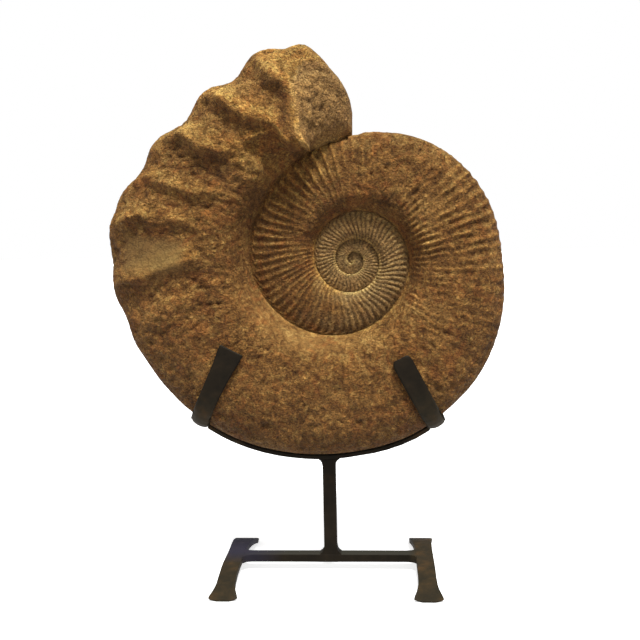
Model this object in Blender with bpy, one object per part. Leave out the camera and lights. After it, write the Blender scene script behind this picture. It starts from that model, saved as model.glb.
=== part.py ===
"""A fossil ammonite held upright in a small forged iron cradle stand.

The ammonite is one stone. Its sides are spiral strips: each whorl runs from the umbilical seam,
where it meets the whorl inside it, up a steep wall, over the flank and down to its outer edge,
and the outer edge of one whorl is the inner seam of the next. The stand is square and flat bar:
two arched feet, a crossbar, a post, a cradle bent to the shell's outline, and two clasps that
wrap round the shell's edge from the front to the back.

Lengths are in millimetres and angles in degrees until a point is placed.
Frame: +Z up, -Y towards the viewer, origin on the ground in the middle of the outline.
"""

import math

import bmesh
import bpy
from mathutils import Vector

MM = 0.001

# Driving dimensions of the shell
COIL_X = 45.525                     # the coiling axis, parallel to Y
COIL_Z = 307.0
TURN = 360.0
LINES_PER_TURN = 120                # mesh lines across the whorl in one turn
RIBS_PER_TURN = LINES_PER_TURN / 2  # a crest on one line, a furrow on the next
FIRST_ANGLE = -600.0                # growth angle at which the coil leaves its centre
EXPOSED_ANGLE = 720.0               # from here no later whorl covers the outer edge
MOUTH_ANGLE = 1080.0                # growth angle of the broken mouth's far edge

# Radius of the whorl's outer edge against the growth angle. A growth angle of 0, 360, 720 and
# 1080 is straight up, and growth runs clockwise as seen from the front.
EDGE_RADIUS = [
    (-540, 3.0), (-450, 5.6), (-360, 8.6), (-270, 11.0), (-180, 13.6), (-90, 17.0), (0, 21.5),
    (90, 26.0), (180, 31.0), (270, 37.0), (360, 47.3), (405, 51.3), (450, 53.8), (495, 57.4),
    (540, 69.0), (585, 84.0), (630, 98.0), (675, 103.6), (720, 118.3), (742, 128.9),
    (765, 136.9), (788, 140.9), (808, 142.3), (822, 147.8), (855, 165.3), (868, 170.9),
    (882, 178.7), (900, 186.2), (915, 195.0), (936, 209.6), (951, 218.2), (966, 224.6),
    (978, 228.3), (990, 233.8), (1002, 233.6), (1009, 227.2), (1015, 220.6), (1023, 216.0),
    (1031, 209.0), (1040, 208.9), (1047.5, 204.8), (1056, 212.0), (1063, 208.0), (1068, 206.6),
    (1071, 197.5), (1074, 185.0), (1077, 171.0), (1080, 151.0),
]
# Degrees by which a rib's outer end lies behind its inner end.
RIB_LEAN = [
    (-540, 12), (360, 12), (540, 9), (720, 4), (790, 2), (840, 8), (900, 12), (1000, 14),
    (1040, 15), (1062, 9), (1080, 0),
]
# Height of the fine ribs as a share of full height: worn away on top and on the body chamber.
FINE_RIB_SHARE = [
    (-540, 1.0), (690, 1.0), (735, 0.25), (770, 0.35), (795, 0.8), (825, 0.8), (850, 0.0), (1080, 0.0),
]
FINE_RIB_HEIGHT = 0.012             # half the height from furrow to crest, as a share of radius
FINE_RIB_MOST = 1.2
FINE_RIB_FOOT = (0.04, 0.22)        # where across the whorl they rise from the seam
FINE_RIB_HEAD = (0.82, 1.0)         # and where they sink to the next seam, on covered edges
EDGE_RIB_RISE = 25.0                # from the exposed angle, they reach the edge over this angle
# The body chamber's coarse ribs: growth angle of the crest, crest height, half width in degrees.
COARSE_RIBS = [
    (978.0, 2.5, 4.5), (990.0, 6.5, 4.8), (1005.0, 7.0, 4.3), (1014.0, 6.0, 4.0),
    (1029.0, 10.0, 5.0), (1047.0, 10.0, 5.0), (1062.0, 9.0, 4.8), (1071.0, 4.0, 3.5),
]
COARSE_RIB_HOLLOW = 2.5             # the shell sinks this far between them
COARSE_RIB_START = (965.0, 985.0)   # over these growth angles
COARSE_RIB_BLUNTNESS = 1.6
COARSE_RIB_FOOT = (0.1, 0.45)       # where across the whorl they rise
COARSE_RIB_HEAD = (0.75, 1.0)       # and where they lose a share of their height to the edge
COARSE_RIB_HEAD_LOSS = 0.4
MOUTH_FADE = 8.0                    # all ribs die out over this angle before the mouth
HALF_THICKNESS = 54.0               # the body chamber's, and its growth per turn
THICKNESS_GROWTH = 2.35
FULL_SIZE_ANGLE = 990.0
NOSE_ANGLE = 1058.0                 # from here the broken mouth slopes back to the mid-plane
MOUTH_REACH = 0.75                  # the mouth's edge leans this far over the whorl below it
CREST_SHARE = 0.38                  # where across the whorl the flank is thickest
WALL_STEEPNESS = 3.0
FLANK_FLATNESS = (2.3, 3.0)         # exponents of the curve from crest to edge: covered, exposed
FLANK_ROUNDNESS = (1.0, 0.42)
SEAM_SHARE = 0.58                   # height of the seam as a share of the whorl's thickness
SEAM_FADE = (684.0, 720.0)          # the last seam climbs over the outer edge to the mid-plane

# Rows across each turn, from the seam (0) to the outer edge (1), front and back.
OUTER_ROWS = [0, 0.055, 0.14, 0.28, 0.46, 0.64, 0.80, 0.91, 0.98, 1]
FRONT_ROWS = {
    -2: [0, 1],
    -1: [0, 0.4, 1],
    0: [0, 0.12, 0.34, 0.7, 1],
    1: [0, 0.08, 0.22, 0.45, 0.75, 1],
    2: OUTER_ROWS,
}
BACK_ROWS = {-2: [0, 1], -1: [0, 1], 0: [0, 0.3, 1], 1: [0, 0.12, 0.4, 1], 2: OUTER_ROWS}

STONE_COLOUR = (0.30, 0.17, 0.07)
IRON_COLOUR = (0.030, 0.025, 0.020)

# Driving dimensions of the stand
POST_X = 18.625
SQUARE_BAR = 12.7                   # the post: half-inch square bar
JOINT_GAP = 0.3                     # left between two touching pieces
# A weld fillet at a bar's end: distance from the end, and how much wider each side is there.
WELD_SPREAD = [(0, 4.6), (1.4, 2.5), (3.4, 0.9), (6.5, 0)]
CROSS_DEEP = 13.0
CROSS_THICK = 7.6
FOOT_X = (-76.975, 111.125)
FOOT_TOP = 16.7                     # top of the raised middle
FOOT_MID_HALF = 8.45                # half width of the plain bar
# From the middle of a foot outwards: distance, top, underside, half width. The ends are
# hammered thin and wide, and rest on the ground.
FOOT_PROFILE = [
    (26.0, FOOT_TOP, 10.4, FOOT_MID_HALF), (38.0, 15.9, 9.7, FOOT_MID_HALF), (48.0, 14.2, 7.8, FOOT_MID_HALF),
    (57.0, 11.9, 5.5, 8.6), (64.0, 9.7, 3.5, 9.0), (70.0, 7.6, 1.6, 10.1), (74.5, 5.9, 0.0, 11.5),
    (78.0, 4.5, 0.0, 12.8), (80.6, 3.5, 0.0, 13.5), (82.2, 2.8, 0.0, 13.3), (83.1, 2.4, 0.0, 12.3),
    (83.5, 2.2, 0.0, 10.9),
]
CRADLE_HALF_WIDTH = 9.5
CRADLE_THICK = 4.0
CRADLE_PIECES = 16                  # straight lengths that its bend is made of
CRADLE_SLOPE_STEP = 3.0             # its slope is taken over this far to either side
CRADLE_CLEARANCE = 0.6              # between the iron and the stone
LOWEST_EDGE_Z = 118.0               # the shell's lower edge is looked for from here
EDGE_SEARCH = (-20.0, 60.0)         # over this range, halved so many times
HALVINGS = 40
CLASP_HALF_WIDTH = 9.1
CLASP_THICK = 4.8
CLASP_CLEARANCE = 1.1
CLASP_PIECES = 10                   # straight lengths from the shell's edge towards a tip
CLASP_CROWDING = 2.1                # and how much shorter they are near the edge
CLASP_TIP = (7.0, 3.6, 1.5, 0.5, 0.0)   # the last sections' distances from the tip
CLASP_SPOTS = 3                     # the stone is felt at this many spots each side of the middle
# Each clasp: where it crosses the shell's edge, its lean from vertical, its length up the side,
# and its half width at distances from the tip. One tip is flared and the other is rounded.
LEFT_CLASP = (-105.175, 27.6, 83.0, [(0, 11.5), (0.5, 11.8), (8, 11.4), (20, 10.2), (45, 9.1)])
RIGHT_CLASP = (122.825, -27.4, 74.0, [(0, 5.6), (0.5, 6.9), (1.5, 8.1), (3.6, 9.2), (7, 9.6), (35, 9.4), (60, 9.1)])


def smooth_curve(table, x):
    """The value at x of a smooth curve through the table's points, held at its two ends."""
    if x <= table[0][0]:
        return table[0][1]
    if x >= table[-1][0]:
        return table[-1][1]
    k = next(i for i in range(len(table) - 1) if x <= table[i + 1][0])

    def slope(i):
        lo, hi = max(i - 1, 0), min(i + 1, len(table) - 1)
        return (table[hi][1] - table[lo][1]) / (table[hi][0] - table[lo][0])

    (x0, y0), (x1, y1) = table[k], table[k + 1]
    span = x1 - x0
    t = (x - x0) / span
    a, b = slope(k) * span, slope(k + 1) * span
    return (
        y0 * (1 + 2 * t) * (1 - t) ** 2
        + a * t * (1 - t) ** 2
        + y1 * t * t * (3 - 2 * t)
        + b * t * t * (t - 1)
    )


def ease(x, start, end):
    """0 before start, 1 after end, smooth between them."""
    t = min(1.0, max(0.0, (x - start) / (end - start)))
    return t * t * (3 - 2 * t)


def mix(pair, share):
    return pair[0] + (pair[1] - pair[0]) * share


def edge_radius(angle):
    """Radius of the whorl's outer edge, which leaves the centre at the first angle."""
    return smooth_curve(EDGE_RADIUS, angle) * ease(angle, FIRST_ANGLE, FIRST_ANGLE + 60)


def half_thickness(angle):
    """Height of the whorl's crest above the mid-plane."""
    turns_back = max(0.0, FULL_SIZE_ANGLE - angle) / TURN
    whole = HALF_THICKNESS / THICKNESS_GROWTH**turns_back
    if angle <= NOSE_ANGLE:
        return whole
    along = min(1.0, (angle - NOSE_ANGLE) / (MOUTH_ANGLE - NOSE_ANGLE))
    return whole * math.sqrt(1 - along * along)


def edge_height(angle):
    """Height of the whorl's outer edge above the mid-plane: a seam, or 0 where it is exposed."""
    seam = SEAM_SHARE * half_thickness(max(angle, FIRST_ANGLE))
    return seam * (1 - ease(angle, *SEAM_FADE))


def rib_angle(angle, across):
    """The growth angle at which the rib through this point crosses the middle of the flank."""
    return angle + smooth_curve(RIB_LEAN, angle) * (across - 0.5)


def rib_height(angle, across, radius):
    """How far the ribs stand out of the plain shell."""
    crossing = rib_angle(angle, across)
    covered = 1 - ease(angle, EXPOSED_ANGLE, EXPOSED_ANGLE + EDGE_RIB_RISE)
    on_flank = ease(across, *FINE_RIB_FOOT) * (1 - covered * ease(across, *FINE_RIB_HEAD))
    fine = min(FINE_RIB_MOST, FINE_RIB_HEIGHT * radius) * smooth_curve(FINE_RIB_SHARE, crossing)
    height = fine * math.cos(math.radians(crossing * RIBS_PER_TURN)) * on_flank
    coarse = -COARSE_RIB_HOLLOW * ease(crossing, *COARSE_RIB_START)
    for crest, tall, width in COARSE_RIBS:
        near = math.exp(-(abs(crossing - crest) / width) ** COARSE_RIB_BLUNTNESS)
        coarse += (tall + COARSE_RIB_HOLLOW) * near
    coarse *= ease(across, *COARSE_RIB_FOOT)
    height += coarse * (1 - COARSE_RIB_HEAD_LOSS * ease(across, *COARSE_RIB_HEAD))
    return height * (1 - ease(angle, MOUTH_ANGLE - MOUTH_FADE, MOUTH_ANGLE))


def section(angle, across):
    """Radius and height of the plain shell, without ribs."""
    radius_in, height_in = edge_radius(angle - TURN), edge_height(angle - TURN)
    radius_out, height_out = edge_radius(angle), edge_height(angle)
    thick = max(half_thickness(angle), height_out)
    height_in = min(height_in, thick)
    if across < CREST_SHARE:
        up = 1 - (1 - across / CREST_SHARE) ** WALL_STEEPNESS
        height = height_in + (thick - height_in) * up
    else:
        out = (across - CREST_SHARE) / (1 - CREST_SHARE)
        exposed = ease(angle, *SEAM_FADE)
        flatness, roundness = mix(FLANK_FLATNESS, exposed), mix(FLANK_ROUNDNESS, exposed)
        height = height_out + (thick - height_out) * max(0.0, 1 - out**flatness) ** roundness
    return radius_in + (radius_out - radius_in) * across, height


def shell_section(angle, across):
    """Radius and height with the ribs, which stand out square to the plain section."""
    radius, height = section(angle, across)
    step = 0.01
    r0, h0 = section(angle, max(0.0, across - step))
    r1, h1 = section(angle, min(1.0, across + step))
    along = Vector((r1 - r0, h1 - h0))
    on_seam = across == 0 or (across == 1 and angle < EXPOSED_ANGLE)
    if on_seam or along.length < 1e-6:
        return radius, height
    out = Vector((-along.y, along.x)).normalized() if across < 1 else Vector((1, 0))
    rib = rib_height(angle, across, radius)
    return radius + out.x * rib, max(0.0, height + out.y * rib)


def shell_point(angle, across, side):
    """A point of the shell in metres. Side is -1 on the front and 1 on the back."""
    radius, height = shell_section(angle, across)
    turn = math.radians(90 - angle)
    x, z = COIL_X + radius * math.cos(turn), COIL_Z + radius * math.sin(turn)
    return Vector((x, side * height, z)) * MM


def line_angle(line_at, across):
    """The mesh lines lean with the ribs, apart from the seams that two whorls share."""
    if across == 0:
        return line_at
    rim = ease(line_at, EXPOSED_ANGLE, EXPOSED_ANGLE + 30) if across == 1 else 1.0
    reach = MOUTH_REACH * ease(line_at, MOUTH_ANGLE - 10, MOUTH_ANGLE)
    return line_at - smooth_curve(RIB_LEAN, line_at) * (across - 0.5) * rim + reach


def wind_strip(bm, turn_number, rows, rows_before, side):
    """One turn of the shell's side: a flat grid, wound up between its inner seam and outer edge.

    Its first line lands on the last line of the turn before, which may have fewer rows.
    """
    start = max(FIRST_ANGLE, turn_number * TURN)
    lines = round(((turn_number + 1) * TURN - start) / TURN * LINES_PER_TURN)
    made = bmesh.ops.create_grid(bm, x_segments=lines, y_segments=len(rows) - 1, size=1)
    for vert in made["verts"]:
        line = round((vert.co.x + 1) / 2 * lines)
        across = rows[round((vert.co.y + 1) / 2 * (len(rows) - 1))]
        if line == 0:
            across = min(rows_before, key=lambda row: abs(row - across))
        line_at = start + line * TURN / LINES_PER_TURN
        vert.co = shell_point(line_angle(line_at, across), across, side)


def surface_height(x, z):
    """Height of the shell's side above the mid-plane at a point of the outline, or 0 outside it."""
    radius = math.hypot(x - COIL_X, z - COIL_Z)
    angle = (90 - math.degrees(math.atan2(z - COIL_Z, x - COIL_X))) % TURN
    while angle < MOUTH_ANGLE:
        inner, outer = edge_radius(angle - TURN), edge_radius(angle)
        if inner <= radius <= outer:
            return shell_section(angle, (radius - inner) / (outer - inner))[1]
        angle += TURN
    return 0.0


def material(name, colour, roughness, metallic):
    made = bpy.data.materials.new(name)
    made.use_nodes = True
    shader = made.node_tree.nodes["Principled BSDF"]
    shader.inputs["Base Color"].default_value = (*colour, 1)
    shader.inputs["Roughness"].default_value = roughness
    shader.inputs["Metallic"].default_value = metallic
    return made


def finish(bm, name, finish_material):
    """Closes a bmesh into a named object with its faces pointing out."""
    bmesh.ops.recalc_face_normals(bm, faces=bm.faces)
    mesh = bpy.data.meshes.new(name)
    bm.to_mesh(mesh)
    bm.free()
    mesh.materials.append(finish_material)
    made = bpy.data.objects.new(name, mesh)
    bpy.context.scene.collection.objects.link(made)
    return made


def build_ammonite(stone):
    bm = bmesh.new()
    for side, all_rows in ((-1, FRONT_ROWS), (1, BACK_ROWS)):
        rows_before = all_rows[-1]
        for turn_number, rows in all_rows.items():
            wind_strip(bm, turn_number, rows, rows_before, side)
            rows_before = rows
    bmesh.ops.remove_doubles(bm, verts=bm.verts, dist=0.02 * MM)
    bmesh.ops.dissolve_degenerate(bm, edges=bm.edges, dist=0.01 * MM)
    made = finish(bm, "ammonite", stone)
    made.data.shade_smooth()
    return made


def sweep_bar(name, stations, iron):
    """A bar through sections of four corners each, bridged one to the next and capped."""
    bm = bmesh.new()
    before = []
    for corners in stations:
        ring = [bm.verts.new(Vector(corner) * MM) for corner in corners]
        loop = [bm.edges.new((ring[k - 1], ring[k])) for k in range(4)]
        if before:
            bmesh.ops.bridge_loops(bm, edges=before + loop)
        before = loop
    bmesh.ops.holes_fill(bm, edges=[e for e in bm.edges if e.is_boundary], sides=4)
    made = finish(bm, name, iron)
    made.data.shade_smooth()
    made.data.set_sharp_from_angle(angle=math.radians(35))
    return made


def build_foot(name, middle_x, iron):
    """An arched foot: level where the crossbar meets it, bent down to the ground at both ends."""
    stations = []
    for side, profile in ((-1, reversed(FOOT_PROFILE)), (1, FOOT_PROFILE)):
        for out, top, under, half in profile:
            left, right = middle_x - half, middle_x + half
            y = side * out
            stations.append([(left, y, under), (right, y, under), (right, y, top), (left, y, top)])
    return sweep_bar(name, stations, iron)


def build_crossbar(iron):
    """Flat bar between the feet, spread along them by its weld fillets."""
    left = FOOT_X[0] + FOOT_MID_HALF + JOINT_GAP
    right = FOOT_X[1] - FOOT_MID_HALF - JOINT_GAP
    top, bottom = FOOT_TOP, FOOT_TOP - CROSS_THICK
    places = [(left + along, CROSS_DEEP / 2 + wide) for along, wide in WELD_SPREAD]
    places += [(right - along, CROSS_DEEP / 2 + wide) for along, wide in reversed(WELD_SPREAD)]
    stations = [[(x, -y, bottom), (x, y, bottom), (x, y, top), (x, -y, top)] for x, y in places]
    return sweep_bar("crossbar", stations, iron)


def edge_rise(spot, inwards):
    """How far along a direction the shell's edge lies from a spot near it, by halving the range."""
    low, high = EDGE_SEARCH
    for _ in range(HALVINGS):
        rise = (low + high) / 2
        at = spot + inwards * rise
        radius = math.hypot(at.x - COIL_X, at.y - COIL_Z)
        turn = math.degrees(math.atan2(at.y - COIL_Z, at.x - COIL_X)) % TURN
        if radius > edge_radius(MOUTH_ANGLE + 90 - turn):
            low = rise
        else:
            high = rise
    return low


def edge_point(x):
    """The point of the shell's lower edge at x."""
    up = Vector((0, 1))
    start = Vector((x, LOWEST_EDGE_Z))
    return start + up * edge_rise(start, up)


def clasp_directions(lean):
    """A clasp's direction up the shell's side, and the direction across it, in the XZ plane."""
    inwards = Vector((math.sin(math.radians(lean)), math.cos(math.radians(lean))))
    return inwards, Vector((inwards.y, -inwards.x))


def clasp_line(base, inwards, across, length):
    """Half of a clasp's inner line, edge to tip: rise from the base, and height from the mid-plane."""
    shifts = [CLASP_HALF_WIDTH * k / CLASP_SPOTS for k in range(-CLASP_SPOTS, CLASP_SPOTS + 1)]
    lowest = min(edge_rise(base + across * s, inwards) for s in shifts)
    shares = [(k / CLASP_PIECES) ** CLASP_CROWDING for k in range(1, CLASP_PIECES)]
    rises = [lowest + (length - lowest) * share for share in shares]
    rises += [length - from_tip for from_tip in CLASP_TIP]
    line = [Vector((lowest, 0.0))]
    for rise in rises:
        spots = [base + inwards * rise + across * s for s in shifts]
        line.append(Vector((rise, max(surface_height(p.x, p.y) for p in spots))))
    return line


def build_clasp(name, clasp, iron):
    """A flat bar bent round the shell's edge, with a prong up each side of the shell."""
    base_x, lean, length, tip_widths = clasp
    inwards, across = clasp_directions(lean)
    base = edge_point(base_x)
    inner = clasp_line(base, inwards, across, length)
    half_sections = []
    for k, spot in enumerate(inner):
        along = (inner[min(k + 1, len(inner) - 1)] - inner[max(k - 1, 0)]).normalized()
        square = Vector((-along.y, along.x)) if k else Vector((-1, 0))
        near = spot + square * CLASP_CLEARANCE
        far = near + square * CLASP_THICK
        half = smooth_curve(tip_widths, length - spot.x)
        half_sections.append(((near, -half), (near, half), (far, half), (far, -half)))
    stations = []
    for side, part in ((-1, reversed(half_sections)), (1, half_sections[1:])):
        for section_corners in part:
            corners = []
            for at, across_by in section_corners:
                flat = base + inwards * at.x + across * across_by
                corners.append((flat.x, side * at.y, flat.y))
            stations.append(corners)
    return sweep_bar(name, stations, iron)


def build_cradle(iron):
    """A flat bar under the stone, bent to its outline and cut square against the two clasps."""
    ends = []
    for clasp, towards in ((LEFT_CLASP, 1), (RIGHT_CLASP, -1)):
        inwards, across = clasp_directions(clasp[1])
        beside = edge_point(clasp[0]) + across * towards * (CLASP_HALF_WIDTH + JOINT_GAP)
        ends.append((beside + inwards * (edge_rise(beside, inwards) - CRADLE_CLEARANCE), inwards))
    stations = []
    for k in range(CRADLE_PIECES + 1):
        x = ends[0][0].x + (ends[1][0].x - ends[0][0].x) * k / CRADLE_PIECES
        slope = edge_point(x + CRADLE_SLOPE_STEP) - edge_point(x - CRADLE_SLOPE_STEP)
        slope.normalize()
        down = Vector((slope.y, -slope.x))
        top = edge_point(x) + down * CRADLE_CLEARANCE
        low = top + down * CRADLE_THICK
        if k in (0, CRADLE_PIECES):
            top, inwards = ends[0] if k == 0 else ends[1]
            low = top - inwards * CRADLE_THICK
        corners = ((low, -1), (low, 1), (top, 1), (top, -1))
        stations.append([(at.x, side * CRADLE_HALF_WIDTH, at.y) for at, side in corners])
    return sweep_bar("cradle", stations, iron)


def build_post(cradle_under, iron):
    """Square bar, spread by a weld fillet where it meets the crossbar and the cradle."""
    bottom, top = FOOT_TOP + JOINT_GAP, cradle_under - JOINT_GAP
    half = SQUARE_BAR / 2
    levels = [(bottom + along, half + wide) for along, wide in WELD_SPREAD]
    levels += [(top - along, half + wide) for along, wide in reversed(WELD_SPREAD)]
    corners = ((-1, -1), (1, -1), (1, 1), (-1, 1))
    stations = [[(POST_X + i * wide, j * half, z) for i, j in corners] for z, wide in levels]
    return sweep_bar("post", stations, iron)


def main():
    for old in list(bpy.data.objects):
        bpy.data.objects.remove(old)
    stone = material("fossil_stone", STONE_COLOUR, 0.85, 0.0)
    iron = material("forged_iron", IRON_COLOUR, 0.5, 0.6)
    build_ammonite(stone)
    build_foot("left_foot", FOOT_X[0], iron)
    build_foot("right_foot", FOOT_X[1], iron)
    build_crossbar(iron)
    cradle = build_cradle(iron)
    under = min(v.co.z for v in cradle.data.vertices) / MM
    build_post(under, iron)
    build_clasp("left_clasp", LEFT_CLASP, iron)
    build_clasp("right_clasp", RIGHT_CLASP, iron)


main()
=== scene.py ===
"""Looks of a fossil ammonite held upright in a small forged iron stand.

The sections follow the object as it is put together: the stand's bars and welds, then the stone
that is lowered into it, then the floor, light and camera. Lengths in a section are millimetres
and angles are degrees until a point is placed, which is in metres in the frame's axes.
"""

import math

import bmesh
import bpy
import numpy as np
from mathutils import Matrix, Vector, noise


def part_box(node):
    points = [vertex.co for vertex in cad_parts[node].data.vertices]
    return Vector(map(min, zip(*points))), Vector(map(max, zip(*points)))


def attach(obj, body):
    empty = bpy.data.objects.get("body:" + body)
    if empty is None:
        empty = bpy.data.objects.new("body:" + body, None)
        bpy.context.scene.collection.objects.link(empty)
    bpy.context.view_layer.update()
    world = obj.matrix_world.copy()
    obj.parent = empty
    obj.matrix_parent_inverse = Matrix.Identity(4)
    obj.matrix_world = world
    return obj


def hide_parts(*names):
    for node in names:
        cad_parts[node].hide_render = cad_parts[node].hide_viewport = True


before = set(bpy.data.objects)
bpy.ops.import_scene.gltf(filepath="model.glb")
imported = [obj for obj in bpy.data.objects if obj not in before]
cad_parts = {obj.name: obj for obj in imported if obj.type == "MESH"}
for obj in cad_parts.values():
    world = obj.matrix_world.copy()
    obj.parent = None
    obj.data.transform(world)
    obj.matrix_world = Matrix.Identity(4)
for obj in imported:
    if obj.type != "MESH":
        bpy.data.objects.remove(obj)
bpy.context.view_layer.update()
MM = 0.001

# The stand's bars. Mild steel flat and square bar, forged hot: the corners are rounded by the
# hammer, the faces carry shallow flats, and the black forge scale is kept under a coat of wax.
END_ROUND = 0.7                     # radius of the corners round a bar's two ends
HAMMER_MARK = 7.0                   # across one flat left by the hammer
HAMMER_DEPTH = 0.15


def linear(hex_colour):
    """A linear RGBA colour from an sRGB hex value."""
    parts = [int(hex_colour[i:i + 2], 16) / 255 for i in (1, 3, 5)]
    return (*(c / 12.92 if c <= 0.04045 else ((c + 0.055) / 1.055) ** 2.4 for c in parts), 1)


def add_node(tree, kind, inputs=None, stops=None, **settings):
    """Adds a node with its settings, its ramp stops, and its inputs: values or other sockets."""
    node = tree.nodes.new(kind)
    for name, value in settings.items():
        setattr(node, name, value)
    for k, (at, colour) in enumerate(stops or ()):
        ramp = node.color_ramp.elements
        element = ramp[k] if k < 2 else ramp.new(at)
        element.position, element.color = at, colour
    for name, value in (inputs or {}).items():
        if isinstance(value, bpy.types.NodeSocket):
            tree.links.new(value, node.inputs[name])
        else:
            node.inputs[name].default_value = value
    return node


def new_material(name):
    """A material with only its Principled shader, and the shader."""
    made = bpy.data.materials.new(name)
    made.use_nodes = True
    return made, made.node_tree.nodes["Principled BSDF"]


# Forge scale is iron oxide, part metal and part mineral: near black and satin where wax fills it,
# paler grey on faces that look up, from dust and a painted sheen, brown low down and to the sides,
# rust on the feet and painted light on the clasps' round bends, and tinted blue by the heat where
# the left foot was welded.
SCALE_CLOUD = 50 / 3                # across one cloud of brown in the scale
SCALE_GRAIN = 0.9                   # across one flake of scale; it is finer than this on the bar
# The brown of rust and painted light starts and is full at these distances to the side of the
# stand's middle, below these heights, and the heat tint at these distances from its middle.
STAND_MIDDLE, RUST_AND_LIGHT_BEYOND, RUST_AND_LIGHT_BELOW = 17.0, (78.0, 86.0), (190.0, 160.0)
HEAT_SPOT, HEAT_REACH = (-77.0, 30.0, 14.0), (60.0, 30.0)
iron, iron_shader = new_material("waxed_forge_scale")
tree = iron.node_tree
place = add_node(tree, "ShaderNodeTexCoord").outputs["Object"]
cloud = add_node(
    tree, "ShaderNodeTexNoise",
    {"Vector": place, "Scale": 1 / (SCALE_CLOUD * MM), "Detail": 4.0, "Roughness": 0.6},
).outputs["Fac"]
grain = add_node(
    tree, "ShaderNodeTexNoise", {"Vector": place, "Scale": 1 / (SCALE_GRAIN * MM), "Detail": 3.0},
).outputs["Fac"]
colour = add_node(
    tree, "ShaderNodeValToRGB", {"Fac": cloud},
    stops=((0.35, linear("#17130d")), (0.6, linear("#201a12")), (0.78, linear("#2d2317"))),
).outputs["Color"]
# Faces that look up turn paler grey: dust, and a painted sheen from the lamp above.
facing_up = add_node(
    tree, "ShaderNodeSeparateXYZ", {"Vector": add_node(tree, "ShaderNodeNewGeometry").outputs["Normal"]},
).outputs["Z"]
dust_and_painted_sheen = add_node(
    tree, "ShaderNodeMapRange", {"Value": facing_up, "From Min": 0.7, "From Max": 0.97, "To Max": 0.6},
).outputs["Result"]
colour = add_node(
    tree, "ShaderNodeMix", {"Factor": dust_and_painted_sheen, "A": colour, "B": linear("#3e3c34")}, data_type="RGBA",
).outputs["Result"]
# Low down and far to the side the scale turns brown: rust on the feet, and painted light on the clasps' round
# bends.
spot = add_node(tree, "ShaderNodeSeparateXYZ", {"Vector": place})
from_middle = add_node(
    tree, "ShaderNodeMath", {0: spot.outputs["X"], 1: STAND_MIDDLE * MM}, operation="SUBTRACT",
).outputs["Value"]
from_middle = add_node(tree, "ShaderNodeMath", {0: from_middle}, operation="ABSOLUTE").outputs["Value"]
far_out = add_node(
    tree, "ShaderNodeMapRange",
    {"Value": from_middle, "From Min": RUST_AND_LIGHT_BEYOND[0] * MM, "From Max": RUST_AND_LIGHT_BEYOND[1] * MM},
).outputs["Result"]
wear_and_painted_light = add_node(
    tree, "ShaderNodeMapRange",
    {
        "Value": spot.outputs["Z"], "From Min": RUST_AND_LIGHT_BELOW[0] * MM, "From Max": RUST_AND_LIGHT_BELOW[1] * MM,
        "To Max": far_out,
    },
).outputs["Result"]
rust_and_painted_light_brown = add_node(
    tree, "ShaderNodeValToRGB", {"Fac": cloud},
    stops=((0.38, linear("#2b261c")), (0.55, linear("#362d1f")), (0.7, linear("#493722"))),
).outputs["Color"]
colour = add_node(
    tree, "ShaderNodeMix", {"Factor": wear_and_painted_light, "A": colour, "B": rust_and_painted_light_brown}, data_type="RGBA",
).outputs["Result"]
from_heat = add_node(
    tree, "ShaderNodeVectorMath", {0: place, 1: Vector(HEAT_SPOT) * MM}, operation="DISTANCE",
).outputs["Value"]
heat_tint = add_node(
    tree, "ShaderNodeMapRange",
    {
        "Value": from_heat, "From Min": HEAT_REACH[0] * MM, "From Max": HEAT_REACH[1] * MM,
        "To Max": 0.85,
    },
).outputs["Result"]
colour = add_node(
    tree, "ShaderNodeMix", {"Factor": heat_tint, "A": colour, "B": linear("#2d2b38")}, data_type="RGBA",
).outputs["Result"]
tree.links.new(colour, iron_shader.inputs["Base Color"])
rough = add_node(tree, "ShaderNodeMapRange", {"Value": grain, "To Min": 0.5, "To Max": 0.8}).outputs["Result"]
tree.links.new(rough, iron_shader.inputs["Roughness"])
bump = add_node(tree, "ShaderNodeBump", {"Height": grain, "Strength": 0.4, "Distance": 0.3 * MM})
tree.links.new(bump.outputs["Normal"], iron_shader.inputs["Normal"])
iron_shader.inputs["Specular IOR Level"].default_value = 0.06


def smooth_curve(table, x):
    """Values at x of a smooth curve through the table's points, held at its two ends."""
    at, value = np.array(table, dtype=float).T
    count = len(at)
    low, high = np.maximum(np.arange(count) - 1, 0), np.minimum(np.arange(count) + 1, count - 1)
    slope = (value[high] - value[low]) / (at[high] - at[low])
    x = np.clip(x, at[0], at[-1])
    k = np.clip(np.searchsorted(at, x) - 1, 0, count - 2)
    span = at[k + 1] - at[k]
    t = (x - at[k]) / span
    return (
        value[k] * (1 + 2 * t) * (1 - t) ** 2 + slope[k] * span * t * (1 - t) ** 2
        + value[k + 1] * t * t * (3 - 2 * t) + slope[k + 1] * span * t * t * (t - 1)
    )


def ease(x, start, end):
    """0 before start, 1 after end, smooth between them."""
    t = np.clip((x - start) / (end - start), 0.0, 1.0)
    return t * t * (3 - 2 * t)


def round_corners(bm, picked, offset):
    """Rounds the picked edges. One call sees to the long corners and another to the end faces."""
    bmesh.ops.bevel(
        bm, geom=picked, offset=offset * MM, affect="EDGES", segments=4, profile=0.5, material=-1,
        clamp_overlap=True,
    )


def is_sharp(edge):
    """Whether an edge is a corner of a bar, and not one of the small angles of its bends."""
    return edge.calc_face_angle(0) > math.radians(35)


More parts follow.
